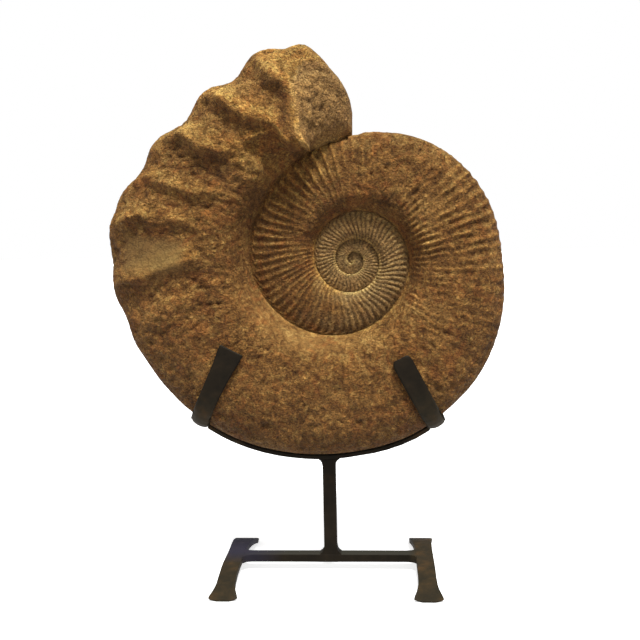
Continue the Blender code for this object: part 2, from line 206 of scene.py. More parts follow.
def forged_piece(bm, piece_name):
    """Closes a bmesh into an iron object with hammered faces."""
    bmesh.ops.triangulate(bm, faces=[face for face in bm.faces if len(face.verts) > 4])
    for _ in range(2):
        long_edges = [edge for edge in bm.edges if edge.calc_length() > 4 * MM]
        bmesh.ops.subdivide_edges(bm, edges=long_edges, cuts=1, use_grid_fill=True)
    bmesh.ops.triangulate(bm, faces=bm.faces)
    bmesh.ops.smooth_vert(bm, verts=bm.verts, factor=0.15, use_axis_x=True, use_axis_y=True, use_axis_z=True)
    bmesh.ops.recalc_face_normals(bm, faces=bm.faces)
    mesh = bpy.data.meshes.new(piece_name)
    bm.to_mesh(mesh)
    bm.free()
    mesh.materials.append(iron)
    mesh.shade_smooth()
    piece = bpy.data.objects.new(piece_name, mesh)
    bpy.context.scene.collection.objects.link(piece)
    for vertex in mesh.vertices:
        vertex.co += vertex.normal * noise.noise(vertex.co / (HAMMER_MARK * MM)) * HAMMER_DEPTH * MM
    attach(piece, "root")
    return piece


def forged_bar(node, corner):
    """A bar in place of a plain one: its corners rounded, its faces smoothed and hammered."""
    bm = bmesh.new()
    bm.from_mesh(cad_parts[node].data)
    bmesh.ops.remove_doubles(bm, verts=bm.verts, dist=0.01 * MM)
    bmesh.ops.dissolve_limit(bm, angle_limit=math.radians(3), verts=bm.verts, edges=bm.edges)
    ends = [face for face in bm.faces if all(is_sharp(edge) for edge in face.edges)]
    end_edges = {edge for face in ends for edge in face.edges}
    round_corners(bm, [edge for edge in bm.edges if is_sharp(edge) and edge not in end_edges], corner)
    round_corners(bm, [edge for edge in bm.edges if is_sharp(edge)], END_ROUND)
    bar = forged_piece(bm, "forged_" + node)
    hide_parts(node)
    return bar


# The crossbar, the post and the cradle. Plain bars cut to length, the post drawn out a little at
# its two ends and the cradle bent to the stone, with crisp corners.
CORNER_ROUND = 0.8
for node in ("crossbar", "post", "cradle"):
    forged_bar(node, CORNER_ROUND)

# The feet. Flat bars arched over the anvil. Their rear halves were hammered wide from the crossbar
# on, the front halves only near the end, and the corners that meet the ground are worn round.
FOOT_CORNER_ROUND = 1.6
# Half widths of a foot against the distance from its middle, as first made and as widened, the
# share of the widening that the outer side gets, and the foot's reach.
PLAIN_HALF = [
    (0, 8.45), (48, 8.45), (57, 8.6), (64, 9), (70, 10.1), (74.5, 11.5), (78, 12.8), (81, 13.5), (84, 13.5),
]
REAR_HALF = [(0, 8.45), (12, 8.45), (26, 9.3), (38, 10.6), (48, 11.4), (64, 12), (74.5, 12.2), (84, 12.1)]
OUTER_SHARE, FOOT_REACH = 0.45, 83.5
# Height worn off the flared corners, and where it starts and is full, out to the side and along.
WORN_HEIGHT, WORN_ASIDE, WORN_ALONG = 2.4, (7.5, 13.4), (72, 79)
for node, foot_x in (("left_foot", -76.975), ("right_foot", 111.125)):
    foot = forged_bar(node, FOOT_CORNER_ROUND)
    for vertex in foot.data.vertices:
        out, aside = abs(vertex.co.y) / MM, vertex.co.x / MM - foot_x
        if vertex.co.y > 0:
            wider = smooth_curve(REAR_HALF, out) / smooth_curve(PLAIN_HALF, out)
            aside *= 1 + (wider - 1) * (1 if aside * foot_x < 0 else OUTER_SHARE)
        worn = WORN_HEIGHT * ease(abs(aside), *WORN_ASIDE) * ease(out, *WORN_ALONG)
        side = math.copysign(min(out, FOOT_REACH), vertex.co.y)
        vertex.co = Vector((foot_x + aside, side, max(vertex.co.z / MM, worn))) * MM


# The clasps. Flat bars bent round the stone's edge, one prong on each side of it, with the outside
# of the bend hammered to a half round. Each is welded to an end of the cradle and leans outwards.
CLASP_CORNER_ROUND = 2.1
CLASP_HALF_WIDTH, CLASP_THICK = 9.1, 4.8
# Height of the bend's centre above its lowest point, the most that the half round takes off, and
# the heights between which it fades.
BEND_CENTRE, BEND_ROUND, BEND_FADE = 44.0, 5.0, (14, 26)


def round_bend(clasp, lean):
    """Rounds the outside of a clasp's bend, which sinks further the nearer it is to a side."""
    vertices = clasp.data.vertices
    up = Vector((math.sin(math.radians(lean)), 0, math.cos(math.radians(lean))))
    beside = Vector((up.z, 0, -up.x))
    lowest = min(vertex.co @ up for vertex in vertices)
    bend = [vertex for vertex in vertices if vertex.co @ up < lowest + CLASP_THICK * MM]
    middle = sum(vertex.co @ beside for vertex in bend) / len(bend)
    for vertex in vertices:
        height = (vertex.co @ up - lowest) / MM
        aside = min(1, abs(vertex.co @ beside - middle) / (CLASP_HALF_WIDTH * MM))
        outward = Vector((0, vertex.co.y, 0)) + up * (height - BEND_CENTRE) * MM
        outward.normalize()
        sunk = BEND_ROUND * (1 - math.sqrt(1 - aside**2.2)) * (1 - ease(height, *BEND_FADE))
        vertex.co -= outward * max(0, vertex.normal @ outward) * sunk * MM


def weld(name, spot, size, lean=0.0):
    """A weld in the narrow gap between two bars: a block of this size, rounded and rippled."""
    bm = bmesh.new()
    turned = Matrix.Translation(Vector(spot) * MM) @ Matrix.Rotation(math.radians(lean), 4, "Y")
    bmesh.ops.create_cube(bm, size=1, matrix=turned @ Matrix.Diagonal((*(Vector(size) * MM), 1)))
    round_corners(bm, bm.edges[:], 0.3 * min(size))
    forged_piece(bm, name)


for node, lean, clasp_side in (("left_clasp", 27.6, min), ("right_clasp", -27.4, max)):
    round_bend(forged_bar(node, CLASP_CORNER_ROUND), lean)
    cradle_points = [vertex.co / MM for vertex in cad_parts["cradle"].data.vertices]
    outermost = clasp_side(point.x for point in cradle_points)
    cradle_end = [point for point in cradle_points if abs(point.x - outermost) < 4]
    joint = sum(cradle_end, Vector()) / len(cradle_end)
    weld(node + "_weld", joint, (2.6, 17.5, 3.6), lean)

# The welds of the base. Short beads of iron run in hot where the crossbar meets the feet and where
# the post stands on it, and filed nearly flush.
weld("left_foot_weld", (-68.4, 0, 12.9), (1.8, 21.5, 7.4))
weld("right_foot_weld", (102.5, 0, 12.9), (1.8, 21.5, 7.4))
weld("post_weld", (18.6, 0, 16.9), (21.0, 12.4, 1.5))

# The ammonite. The limestone that filled the coiled shell and set there, cleaned out of its bed by
# hand. The inner whorls keep every rib of the shell, the body chamber has coarse ribs and a broken
# mouth, and weather has eaten the top and the bottom of the last whorl to a rough mottled rock.
COIL_X, COIL_Z = 45.525, 307.0
TURN = 360.0
LINES_PER_TURN = 700
FIRST_ANGLE, EXPOSED_ANGLE, MOUTH_ANGLE = -600.0, 720.0, 1080.0
# Radius of the whorl's outer edge against the growth angle. A growth angle of 0, 360, 720 and
# 1080 is straight up, and growth runs clockwise as seen from the front.
EDGE_RADIUS = [
    (-540, 3.0), (-450, 5.6), (-360, 8.6), (-270, 11.0), (-180, 13.6), (-90, 17.0), (0, 21.5),
    (90, 26.0), (180, 31.0), (270, 37.0), (360, 47.3), (405, 51.3), (450, 53.8), (495, 57.4),
    (540, 69.0), (585, 84.0), (630, 98.0), (675, 103.6), (720, 118.3), (742, 128.9),
    (765, 136.9), (788, 140.9), (808, 142.3), (822, 147.8), (855, 165.3), (868, 170.9),
    (882, 178.7), (900, 186.2), (915, 195.0), (936, 209.6), (951, 218.2), (966, 224.6),
    (978, 228.3), (990, 233.8), (1002, 233.6), (1009, 227.2), (1015, 220.6), (1023, 216.0),
    (1031, 209.0), (1040, 208.9), (1047.5, 204.8), (1056, 212.0), (1063, 208.0), (1068, 206.6),
    (1071, 197.5), (1074, 185.0), (1077, 171.0), (1080, 153.0), (1080.75, 142.0),
]
# Degrees by which a rib's outer end lies behind its inner end. On the inner whorls a rib runs
# nearly straight from the outer end and sweeps forward near the seam.
RIB_LEAN = [
    (-540, 15), (480, 15), (600, 16), (660, 11), (700, 6), (730, 3), (790, 2), (840, 8), (900, 12),
    (1000, 14), (1040, 15), (1062, 9), (1080, 0),
]
RIB_BOW = [(560, 2.3), (640, 2.0), (720, 1.0)]
# Ribs counted along the coil from growth angle 0, where they crowd and spread as in the fossil,
# how high they stand as a share of the usual, and how narrow their crests are.
RIB_COUNT = [
    (-600, -73.3), (0, 0), (180, 22), (260, 32.2), (380, 49.7), (500, 68.4), (590, 83.1), (650, 94.6),
    (720, 108.5), (770, 119), (830, 132.3), (900, 148.4),
]
RIB_SHARE = [
    (-540, 1.3), (0, 1.1), (330, 0.85), (375, 1.1), (410, 0.7), (500, 0.8), (560, 0.8), (600, 0.5),
    (640, 0.65), (670, 1.1), (705, 1.45), (718, 0.7), (745, 0.12), (762, 0.35), (774, 0.95), (798, 1.05),
    (812, 0.75), (825, 0.35), (850, 0.3), (875, 0.1), (895, 0.0), (1080, 0.0),
]
RIB_SHARPNESS = [(300, 0.6), (430, 0.65), (560, 1.0), (640, 1.9), (700, 2.6), (760, 1.6)]
RIB_HEIGHT = 0.036                  # from furrow to crest, as a share of the radius
RIB_MOST = 2.4
HALF_THICKNESS, THICKNESS_GROWTH = 54.0, 2.35
FULL_SIZE_ANGLE = 990.0
# The growth angle of the mouth's broken lip against the share across the whorl. From the lip the
# mouth slopes back to the mid-plane.
LIP_ANGLE = [
    (0.0, 1063.5), (0.04, 1062), (0.09, 1058), (0.17, 1056.2), (0.24, 1057.1), (0.33, 1058.5),
    (0.46, 1060.3), (0.58, 1061.5), (0.62, 1063.1), (0.69, 1065.5), (0.75, 1067.2), (0.82, 1069.5),
    (0.89, 1072.2), (1.0, 1075),
]
LIP_FALL = 0.35                     # share of the thickness that the mouth loses in an even slope
MOUTH_ROUNDNESS = 3.2               # how late it then turns in to the mid-plane
MOUTH_REACH = 0.75                  # degrees that the mid-plane lies ahead of the mouth's angle
# A whorl's wall rises steeply to its crest, and its flank falls from there: the share across the
# whorl where the crest is, and the shape of the flank where it is covered and where it is exposed.
CREST_SHARE, WALL_STEEPNESS = 0.38, 3.8
FLANK_FLATNESS, FLANK_ROUNDNESS = (2.3, 3.0), (1.0, 0.42)
# Height of a seam as a share of the whorl's half thickness, and where the outer one runs out.
SEAM_SHARE, INNER_SEAM_SHARE, SEAM_FADE = 0.58, 0.8, (684.0, 720.0)
# The body chamber's coarse ribs: points of the crest line from the edge inwards (growth angle,
# radius), the crest's height at its inner and its outer end, and its half width ahead of and
# behind the crest.
COARSE_RIBS = [
    ([(970.0, 226), (973.0, 205), (976.0, 180), (980.0, 140)], (1.5, 1.5), 14.0, 12.0),
    (
        [(985.0, 228), (986.1, 214), (987.1, 195), (988.6, 177), (991.8, 143), (993.2, 119)],
        (5.0, 5.0), 17.0, 9.0,
    ),
    (
        [(999.0, 232), (1001.5, 213), (1003.6, 196), (1002.9, 186), (1004.2, 160), (1005.4, 125)],
        (2.5, 8.0), 12.0, 7.0,
    ),
    ([(1009.5, 222), (1013.6, 205), (1014.2, 184), (1015.2, 158), (1019.5, 126)], (3.0, 4.5), 12.0, 6.0),
    (
        [(1021.0, 217), (1024.7, 204), (1027.8, 189), (1027.9, 183), (1028.5, 172), (1030.9, 157),
         (1035.0, 140), (1036.6, 125)],
        (8.5, 8.5), 22.0, 6.5,
    ),
    (
        [(1036.8, 208), (1040.5, 198), (1041.5, 191), (1042.9, 177), (1045.1, 164), (1048.5, 149),
         (1052.0, 139)],
        (9.0, 9.0), 20.0, 6.5,
    ),
    (
        [(1054.8, 214), (1055.6, 204), (1056.3, 191), (1057.6, 178), (1060.3, 168), (1060.4, 155),
         (1058.6, 142), (1057.2, 133), (1056.3, 126)],
        (9.5, 4.5), 24.0, 8.0,
    ),
]
# The same ribs where they end on the outer edge: growth angle, height, half width in degrees.
RIM_RIBS = [
    (978.0, 2.5, 4.5), (990.0, 6.5, 4.8), (1005.0, 7.0, 4.3), (1014.0, 6.0, 4.0),
    (1029.0, 10.0, 5.0), (1047.0, 10.0, 5.0), (1062.0, 9.0, 4.8), (1071.0, 4.0, 3.5),
]
RIM_HOLLOW, COARSE_HOLLOW = 2.5, 4.0    # the shell sinks this far between them
COARSE_START = (965.0, 985.0)
# The wall below the mouth is broken back under a ledge: the ledge's radius at each growth angle.
LEDGE_RADIUS = [
    (1034, 138), (1038, 142), (1042, 142), (1046, 139), (1049.6, 134.5), (1052.3, 128.5), (1055.7, 127),
    (1057.8, 119.5), (1060, 112),
]
LEDGE_ENDS = (1036.0, 1040.0, 1057.0, 1061.0)
HOLLOW_DEPTH = 8.0


def edge_radius(angle):
    """Radius of the whorl's outer edge, drawn in to nothing where the coil starts."""
    return smooth_curve(EDGE_RADIUS, angle) * ease(angle, FIRST_ANGLE, FIRST_ANGLE + 60)


def half_thickness(angle, across=0.5):
    """Height of a whorl's side above the mid-plane, less in the mouth, where the two sides meet."""
    whole = HALF_THICKNESS / THICKNESS_GROWTH ** (np.maximum(0, FULL_SIZE_ANGLE - angle) / TURN)
    lip = smooth_curve(LIP_ANGLE, across)
    along = np.clip((angle - lip) / (MOUTH_ANGLE + MOUTH_REACH - lip), 0, 1)
    return whole * (1 - LIP_FALL * along) * np.sqrt(1 - along**MOUTH_ROUNDNESS)


def edge_height(angle):
    """Height of the outer edge above the mid-plane: a seam, or 0 where the edge is exposed."""
    share = INNER_SEAM_SHARE + (SEAM_SHARE - INNER_SEAM_SHARE) * ease(angle, 0, 300)
    return share * half_thickness(np.maximum(angle, FIRST_ANGLE)) * (1 - ease(angle, *SEAM_FADE))


def whorl_section(angle, across):
    """Radius and height of the plain whorl, from its seam (across 0) to its edge (across 1)."""
    radius_in, radius_out = edge_radius(angle - TURN), edge_radius(angle)
    height_out = edge_height(angle)
    thick = np.maximum(half_thickness(angle, across), height_out)
    height_in = np.minimum(edge_height(angle - TURN), thick)
    wall = 1 - np.clip(1 - across / CREST_SHARE, 0, 1) ** WALL_STEEPNESS
    out = np.clip((across - CREST_SHARE) / (1 - CREST_SHARE), 0, 1)
    exposed = ease(angle, *SEAM_FADE)
    flatness = FLANK_FLATNESS[0] + (FLANK_FLATNESS[1] - FLANK_FLATNESS[0]) * exposed
    roundness = FLANK_ROUNDNESS[0] + (FLANK_ROUNDNESS[1] - FLANK_ROUNDNESS[0]) * exposed
    flank = height_out + (thick - height_out) * np.maximum(0, 1 - out**flatness) ** roundness
    height = np.where(across < CREST_SHARE, height_in + (thick - height_in) * wall, flank)
    return radius_in + (radius_out - radius_in) * across, height


def even_rows(count, turn_number):
    """Rows across a whorl at even steps along its surface, measured in the middle of its turn.

    The inner turns have their rows drawn together towards the seam, where a thin line is raised.
    """
    fine = np.linspace(0, 1, 400)
    radius, height = whorl_section(np.full(400, (turn_number + 0.5) * TURN), fine)
    along = np.concatenate(([0], np.cumsum(np.hypot(np.diff(radius), np.diff(height)))))
    rows = np.interp(np.linspace(0, along[-1], count + 1), along, fine)
    return rows ** SEAM_CROWDING if turn_number in (0, 1) else rows


def forward(angle, across):
    """Degrees by which a rib lies ahead of its growth angle at this share across the whorl."""
    return smooth_curve(RIB_LEAN, angle) * ((1 - across) ** smooth_curve(RIB_BOW, angle) - 0.5)


def line_angle(line_at, across):
    """The mesh lines lean with the ribs, apart from the seams that two whorls share."""
    rim = ease(line_at, EXPOSED_ANGLE, EXPOSED_ANGLE + 30)
    leant = line_at + forward(line_at, across) * np.where(across == 1, rim, 1)
    leant = leant + MOUTH_REACH * ease(line_at, MOUTH_ANGLE - 10, MOUTH_ANGLE)
    return np.where(across == 0, line_at, leant)


def wind_strip(bm, turn_number, rows, rows_before, last_rows, side, angle_layer, across_layer):
    """One turn of a side: a flat grid wound up between the whorl's seam and its outer edge.

    Its first line lands on the rows of the turn before, and the mouth's line on the last rows.
    """
    start = max(FIRST_ANGLE, turn_number * TURN)
    lines = round(((turn_number + 1) * TURN - start) / TURN * LINES_PER_TURN)
    verts = bmesh.ops.create_grid(bm, x_segments=lines, y_segments=len(rows) - 1, size=1)["verts"]
    flat = np.array([vert.co[:] for vert in verts])
    line = np.round((flat[:, 0] + 1) / 2 * lines)
    across = rows[np.round((flat[:, 1] + 1) / 2 * (len(rows) - 1)).astype(int)]
    for at, targets in ((0, rows_before), (lines, last_rows)):
        if targets is not None:
            nearest = targets[np.abs(across[:, None] - targets[None, :]).argmin(axis=1)]
            across = np.where(line == at, nearest, across)
    angle = line_angle(start + line * TURN / LINES_PER_TURN, across)
    radius, height = whorl_section(angle, across)
    turned = np.radians(90 - angle)
    x, z = COIL_X + radius * np.cos(turned), COIL_Z + radius * np.sin(turned)
    for k, vert in enumerate(verts):
        vert.co = Vector((x[k], side * height[k], z[k])) * MM
        vert[angle_layer], vert[across_layer] = angle[k], across[k]


# Rows of faces across each turn, finer on the front, which is turned to the viewer.
FRONT_ROWS = {-2: 3, -1: 8, 0: 9, 1: 18, 2: 56}
BACK_ROWS = {-2: 2, -1: 3, 0: 5, 1: 10, 2: 26}
SEAM_CROWDING = 1.3
bm = bmesh.new()
angle_layer = bm.verts.layers.float.new("growth_angle")
across_layer = bm.verts.layers.float.new("across")
for side, counts in ((-1, FRONT_ROWS), (1, BACK_ROWS)):
    rows_before = None
    for turn_number, count in counts.items():
        rows = even_rows(count, turn_number)
        mouth_rows = even_rows(BACK_ROWS[turn_number], turn_number) if turn_number == 2 else None
        wind_strip(bm, turn_number, rows, rows_before, mouth_rows, side, angle_layer, across_layer)
        rows_before = rows
# Points that meet along the seams become one, and the slivers that this leaves are dissolved.
bmesh.ops.remove_doubles(bm, verts=bm.verts, dist=0.005 * MM)
bmesh.ops.dissolve_degenerate(bm, edges=bm.edges, dist=0.002 * MM)
bmesh.ops.holes_fill(bm, edges=[edge for edge in bm.edges if edge.is_boundary], sides=0)
bmesh.ops.recalc_face_normals(bm, faces=bm.faces)
stone_mesh = bpy.data.meshes.new("ammonite_stone")
bm.to_mesh(stone_mesh)
bm.free()


def read_values(mesh, name):
    """The values of a point attribute."""
    values = np.empty(len(mesh.vertices))
    mesh.attributes[name].data.foreach_get("value", values)
    return values


def noise_at(points, size, detail, seed):
    """Fractal noise of about -1 to 1 with lumps of the given size in millimetres."""
    shift = Vector((seed * 7.3, seed * 3.1, seed * 5.7))
    return np.array([noise.fractal(Vector(p) / size + shift, 1.0, 2.0, detail) for p in points])


count = len(stone_mesh.vertices)
points = np.empty(count * 3)
stone_mesh.vertices.foreach_get("co", points)
points = points.reshape(-1, 3) / MM
normals = np.empty(count * 3)
stone_mesh.vertex_normals.foreach_get("vector", normals)
normals = normals.reshape(-1, 3)
growth, across = read_values(stone_mesh, "growth_angle"), read_values(stone_mesh, "across")
radius = np.hypot(points[:, 0] - COIL_X, points[:, 2] - COIL_Z)

# Fine ribs: narrow crests and round furrows, each rib a little higher or lower than the next.
crossing = growth - forward(growth, across)
strayed = crossing + 0.7 * noise_at(points, 15.0, 2, 1)
crest_wave = 0.5 + 0.5 * np.cos(np.pi * 2 * smooth_curve(RIB_COUNT, strayed))
crest_wave **= smooth_curve(RIB_SHARPNESS, growth)
uncovered = ease(growth, EXPOSED_ANGLE, EXPOSED_ANGLE + 25)
on_flank = ease(across, 0.0, 0.07) * (1 - (1 - 0.3 * uncovered) * ease(across, 0.93, 1.0))
crumbled = ease(growth, 615, 655) * (1 - uncovered) * (1 - ease(across, 0.35, 0.6))
on_flank *= 1 - 0.8 * crumbled
rib_size = np.minimum(RIB_MOST, RIB_HEIGHT * radius) * smooth_curve(RIB_SHARE, crossing)
worn = uncovered * ease(noise_at(points, 18.0, 3, 2) + 0.5 * (0.5 - across), -0.1, 0.35)
stray_size = 0.5 + 0.5 * ease(growth, 540, 640)
rib_size *= np.clip(1.0 + stray_size * noise_at(points, 7.0, 2, 8), 0.2, 1.7) * (1 - 0.7 * worn)
fine_rib = (crest_wave - 0.4) * rib_size * on_flank

# Coarse ribs: steep behind the crest and drawn out ahead of it. Each has painted light on its
# up-facing side ahead of the crest and painted shade at its foot behind it, and the last one runs
# down to the lip with a painted light facet between.
coarse = -COARSE_HOLLOW * ease(growth, *COARSE_START)
wander = 1.8 * noise_at(points, 26.0, 3, 3) + 1.1 * noise_at(points, 6.0, 2, 10)
bleach_and_painted_light = np.zeros(count)
for crest_line, (tall_in, tall_out), ahead, behind in COARSE_RIBS:
    tall = tall_in + (tall_out - tall_in) * ease(radius, 178, 205)
    crest = smooth_curve([(r, g) for g, r in reversed(crest_line)], radius)
    off = np.radians(growth - crest) * radius + wander
    width = np.where(off > 0, ahead, behind)
    shape = np.exp(-(np.abs(off) / width) ** np.where(off > 0, 1.3, 1.5))
    in_reach = ease(growth, 940, 960)
    coarse += (tall + COARSE_HOLLOW) * shape * in_reach
    # Painted light on the up-facing side ahead of each crest, and painted shade at its foot behind.
    painted_light_ahead = np.exp(-((off - 0.4 * ahead) / (0.45 * ahead)) ** 2)
    painted_shade_behind = np.exp(-((off + 0.9 * behind) / (0.8 * behind)) ** 2)
    bleach_and_painted_light += (0.95 * painted_light_ahead - 0.1 * painted_shade_behind) * in_reach * tall / 9
lip_share = ease(growth, 1048, 1053)
coarse *= 1 - (1 - ease(radius, 138, 156)) * ease(growth, 1015, 1025) * (1 - lip_share)
coarse *= ease(across, 0.2, 0.45) * (1 - lip_share) + ease(across, 0.02, 0.12) * lip_share
# Painted light on the up-facing facet between the last crest and the lip.
painted_light_facet = ease(off, -2, 5) * ease(growth, 1046, 1054) * ease(across, 0.56, 0.66)
at_rim = -RIM_HOLLOW * ease(crossing, *COARSE_START)
for crest, tall, width in RIM_RIBS:
    at_rim += (tall + RIM_HOLLOW) * np.exp(-(np.abs(crossing - crest) / width) ** 2.4)
to_rim = ease(across, 0.8, 0.97)
coarse = coarse * (1 - to_rim) + 0.4 * at_rim * to_rim

# Weathering: lumps and pits, deep where the shell's skin is gone and slight on the inner whorls.
outer_whorl = ease(growth, 700, 740)
WEATHERING = [
    (700, 0.35), (735, 0.9), (765, 0.7), (790, 0.35), (840, 0.5), (880, 0.75), (950, 0.75), (990, 1.0),
]
eaten = smooth_curve(WEATHERING, growth)
eaten = 0.12 + (eaten - 0.12) * outer_whorl
eaten = np.maximum(eaten, 0.7 * crumbled)
eaten *= 0.3 + 0.7 * ease(across, 0.0, 0.22)
lumps = 1.8 * noise_at(points, 26.0, 3, 4) + 0.6 * noise_at(points, 3.6, 2, 6)
clods = 1.1 - 3.4 * np.abs(noise_at(points, 11.0, 3, 5))
pits = -2.2 * ease(noise_at(points, 6.5, 2, 7), 0.2, 0.7)
bare = ease(radius, 148, 162) * (1 - ease(radius, 208, 222))
bare *= ease(growth, 986, 990) * (1 - ease(growth, 996, 1000))
weather = (lumps + clods + pits) * eaten * (1 - 0.8 * bare)
lip = smooth_curve(LIP_ANGLE, across)
in_mouth = ease(growth, lip, lip + 3)
weather += in_mouth * (2.2 * noise_at(points, 7.0, 3, 13) - 0.4)
weather *= 1 - 0.5 * ease(growth, 1068, 1076) - 0.45 * ease(growth, 1076, 1080)

# Thin raised lines along the inner seams, and a hollow broken out of the wall below the mouth.
SEAM_LINE = (1.1, 0.9)              # how far a line lies above its seam, and its half width
above_seam = radius - edge_radius(growth - TURN)
seam_line = np.exp(-(((above_seam - SEAM_LINE[0]) / SEAM_LINE[1]) ** 2))
seam_line *= ease(growth, -330, -250) * (1 - 0.6 * ease(growth, 600, 700)) * (1 - ease(growth, 960, 1000))
below_ledge = smooth_curve(LEDGE_RADIUS, growth) + 1.5 * noise_at(points, 7.0, 2, 12) - radius
hollow = ease(growth, *LEDGE_ENDS[:2]) * (1 - ease(growth, *LEDGE_ENDS[2:]))
ledge_edge = hollow * np.exp(-((below_ledge + 2.2) / 2.2) ** 2)
hollow *= ease(below_ledge, -1.2, 1.2) * ease(across, 0, 0.08)
mouth_fade = 1 - ease(growth, MOUTH_ANGLE - 8, MOUTH_ANGLE)
relief = (fine_rib + coarse) * mouth_fade + weather * (1 - hollow) + 2.0 * seam_line
relief += 3.0 * ledge_edge - HOLLOW_DEPTH * hollow

# The lip is a thin raised edge, and the rock filled the corner where the mouth rests on the whorl.
lip_line = np.exp(-((np.radians(growth - lip) * radius - 0.5) / 1.6) ** 2)
lip_line *= ease(across, 0.12, 0.2) * (1 - ease(across, 0.6, 0.75)) * ease(growth, 1050, 1054)
from_seam = np.where(growth > 900, above_seam, edge_radius(growth) - radius)
resting_on = ease(growth, 1059, 1064) + ease(growth, 698, 704) * (1 - ease(growth, 712, 718))
fillet = np.exp(-((from_seam / 4.5) ** 2)) * resting_on * (1 - ease(growth, 1073, 1079))
relief += 1.5 * lip_line + 4.6 * fillet

# Nothing is sunk where the stone rests on the cradle, and nothing but that on the exposed edge.
resting = (points[:, 2] < 165) & (np.abs(points[:, 1]) < 16)
relief = np.where(resting, np.maximum(relief, 0), relief)
rim = ease(across, 0.93, 1.0) * ease(growth, EXPOSED_ANGLE, EXPOSED_ANGLE + 20)
relief -= rim * (np.maximum(weather, 0) + 0.3)
points += normals * relief[:, None]

# What bulges furthest to the front or the back is flattened, so that the stone keeps its thickness.
PLAIN_SHARE = 0.86
low, high = (np.array(corner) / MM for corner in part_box("ammonite"))
bulge = np.maximum(np.abs(points[:, 1]) - PLAIN_SHARE * high[1], 0) / ((1 - PLAIN_SHARE) * high[1])
flattened = np.sign(points[:, 1]) * (PLAIN_SHARE + (1 - PLAIN_SHARE) * np.tanh(bulge)) * high[1]
points[:, 1] = np.where(bulge > 0, flattened, points[:, 1])
points = np.clip(points, low, high)
stone_mesh.vertices.foreach_set("co", (points * MM).ravel())
stone_mesh.update()

# Values for the colour. A spot stands out by 0.5 on the plain surface, less in furrows and pits and
# more on crests, which paints shade into the hollows and a highlight onto the crests. The inner
# whorls are olive, and the mouth is the colour of freshly broken stone.
near_mouth = ease(growth, 640, 670) * (1 - ease(growth, 698, 718))
painted_rib_contrast = 0.42 + 0.3 * (1 - ease(growth, 400, 520)) + 0.25 * near_mouth
painted_rib_contrast *= on_flank * ease(rib_size, 0.1, 1.0)
relief_shade_and_highlight = 0.5 + painted_rib_contrast * fine_rib / np.maximum(rib_size, 0.3)
relief_shade_and_highlight += 0.12 * weather + 0.02 * coarse + 0.35 * seam_line + 0.2 * ledge_edge
olive_share = 1 - ease(growth + 60 * noise_at(points, 20.0, 2, 9), 520, 610)
mouth_share = ease(growth + 1.5 * noise_at(points, 5.0, 2, 11), lip - 0.6, lip + 0.8)

# The bleach value runs from -1 to 1 and holds both tone and painted light: painted light ahead of
# the coarse crests, on the facet by the lip, on the body chamber's inner wall, beside the seam under
# the mouth, in the hollow under the ledge and in the filled corner, and painted shade in the pit
# beside the last rib and on a patch of the inner wall. The stone itself is paler on raised lines,
# the ledge's edge and the lip, and darker on the second whorl's outer half and the umbilical rim.
bleach_and_painted_light = np.maximum(bleach_and_painted_light * ease(across, 0.12, 0.4), painted_light_facet) * (1 - mouth_share)
# Painted shade in the pit beside the last coarse rib.
pit_painted_shade = ease(growth, 1049, 1053) * (1 - 0.75 * ease(radius, 178, 190))
bleach_and_painted_light = np.minimum(bleach_and_painted_light, 1 - 2.2 * painted_shade_behind * pit_painted_shade)
bleach_and_painted_light -= 0.55 * ease(growth, 560, 610) * (1 - ease(growth, 650, 690)) * ease(across, 0.35, 0.7)
rim_share = ease(growth, 885, 915) * (1 - ease(growth, 965, 985)) * (1 - ease(across, 0.07, 0.2))
# Painted light on the body chamber's inner wall, which faces away from the lamp.
painted_light_wall = 0.2 * ease(growth, 990, 1005) + 0.8 * ease(growth, 1027, 1033)
painted_light_wall *= (1 - ease(growth, 1050, 1056)) * (1 - ease(across, 0.3, 0.55)) * (1 - hollow)
# Painted light lifting the shade on the second whorl's ribs beside the seam under the mouth.
bleach_and_painted_light += 0.5 * near_mouth * ease(across, 0.35, 0.7)
bleach_and_painted_light += 0.8 * painted_light_wall - 0.45 * rim_share + 1.5 * seam_line
# Painted shade on a patch of the body chamber's inner wall behind a coarse rib.
painted_shade_wall = ease(growth, 1018, 1024) * (1 - ease(growth, 1028, 1032)) * (1 - ease(radius, 164, 174))
# Painted light in the shaded hollow under the ledge and in the filled corner under the mouth; the ledge's
# edge and the lip are paler stone.
bleach_and_painted_light += 1.4 * ledge_edge + 0.9 * lip_line + 1.4 * fillet + 0.7 * hollow - 0.5 * painted_shade_wall
for name, values in (
    ("relief", np.clip(relief_shade_and_highlight, 0, 1)), ("inner_whorls", olive_share), ("mouth", mouth_share),
    ("bare_patch", bare), ("bleach_and_painted_light", 0.5 + 0.5 * np.clip(bleach_and_painted_light, -1, 1)),
    ("smooth_skin", np.maximum(bare, rim_share)),
):
    stone_mesh.attributes.new(name, "FLOAT", "POINT").data.foreach_set("value", values)

